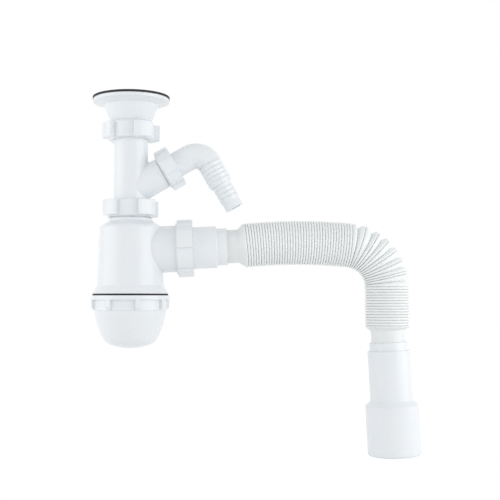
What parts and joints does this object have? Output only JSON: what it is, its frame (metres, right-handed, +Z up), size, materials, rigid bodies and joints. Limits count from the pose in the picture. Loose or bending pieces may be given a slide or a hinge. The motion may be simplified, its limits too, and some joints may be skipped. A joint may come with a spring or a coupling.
{
  "type": "sink bottle trap",
  "caption": "White plastic bottle trap for a kitchen sink: flanged outlet, tee with a barbed hose elbow, bottle with screw cup, and a corrugated outlet pipe with a plain spigot.",
  "frame": {"origin": "middle of the top face of the sink gasket, where the trap meets the underside of the sink", "axes": "+Z up along the tee tube, +X from the bottle along the corrugated pipe, +Y away from the viewer of the picture"},
  "size_m": [0.3091, 0.0738, 0.3375],
  "materials": {
    "white_plastic": "satin moulded polypropylene",
    "pipe_plastic": "satin blown polypropylene",
    "black_rubber": "matt moulded rubber",
    "brass": "turned"
  },
  "bodies": {
    "outlet": {"sink_gasket": "black_rubber", "outlet_body": "white_plastic", "screw_insert": "brass"},
    "upper_nut": {"upper_nut": "white_plastic"},
    "tee": {"tee_tube": "white_plastic", "upper_washer": "black_rubber"},
    "branch_nut": {"branch_nut": "white_plastic"},
    "elbow": {"hose_elbow": "white_plastic", "branch_washer": "black_rubber"},
    "inlet_ring": {"inlet_washer": "black_rubber"},
    "bottle": {"bottle_body": "white_plastic"},
    "inlet_nut": {"inlet_nut": "white_plastic"},
    "cup_seal": {"cup_gasket": "black_rubber"},
    "cup": {"bottle_cup": "white_plastic"},
    "outlet_nut": {"outlet_nut": "white_plastic"},
    "pipe": {"pipe_connector": "white_plastic", "outlet_washer": "black_rubber", "corrugated_pipe": "pipe_plastic"},
    "pipe_end": {"end_connector": "white_plastic"}
  },
  "joints": [
    {"name": "upper_nut_turn", "type": "hinge", "parent": "outlet", "child": "upper_nut", "pos_m": [0, 0, -0.033], "axis": [0, 0, -1], "range_deg": [0, 360]},
    {"name": "tee_swivel", "type": "hinge", "parent": "outlet", "child": "tee", "pos_m": [0, 0, -0.033], "axis": [0, 0, 1], "continuous": true},
    {"name": "branch_nut_turn", "type": "hinge", "parent": "tee", "child": "branch_nut", "pos_m": [0.03551, 0, -0.0691], "axis": [0.866, 0, 0.5], "range_deg": [0, 360]},
    {"name": "elbow_swivel", "type": "hinge", "parent": "tee", "child": "elbow", "pos_m": [0.0381, 0, -0.0676], "axis": [0.866, 0, 0.5], "range_deg": [-120, 120]},
    {"name": "trap_height", "type": "slide", "parent": "tee", "child": "inlet_ring", "axis": [0, 0, 1], "range_m": [-0.03, 0]},
    {"name": "trap_swivel", "type": "hinge", "parent": "inlet_ring", "child": "bottle", "pos_m": [0, 0, -0.104], "axis": [0, 0, 1], "continuous": true},
    {"name": "inlet_nut_turn", "type": "hinge", "parent": "bottle", "child": "inlet_nut", "pos_m": [0, 0, -0.1065], "axis": [0, 0, 1], "range_deg": [0, 360]},
    {"name": "cup_drop", "type": "slide", "parent": "bottle", "child": "cup_seal", "axis": [0, 0, -1], "range_m": [0, 0.008]},
    {"name": "cup_turn", "type": "hinge", "parent": "cup_seal", "child": "cup", "pos_m": [0, 0, -0.195], "axis": [0, 0, -1], "range_deg": [0, 720]},
    {"name": "outlet_nut_turn", "type": "hinge", "parent": "bottle", "child": "outlet_nut", "pos_m": [0.05096, 0, -0.14396], "axis": [0.9991, 0, 0.0419], "range_deg": [0, 360]},
    {"name": "pipe_swivel", "type": "hinge", "parent": "bottle", "child": "pipe", "pos_m": [0.05595, 0, -0.14375], "axis": [0.9991, 0, 0.0419], "continuous": true},
    {"name": "pipe_bend", "type": "hinge", "parent": "pipe", "child": "pipe_end", "pos_m": [0.21602, 0, -0.16792], "axis": [0, 1, 0], "range_deg": [-60, 15], "deforming": ["corrugated_pipe"]}
  ],
  "couplings": [
    {"joint": "cup_drop", "follows": "cup_turn", "m_per_rad": 0.0006366}
  ]
}
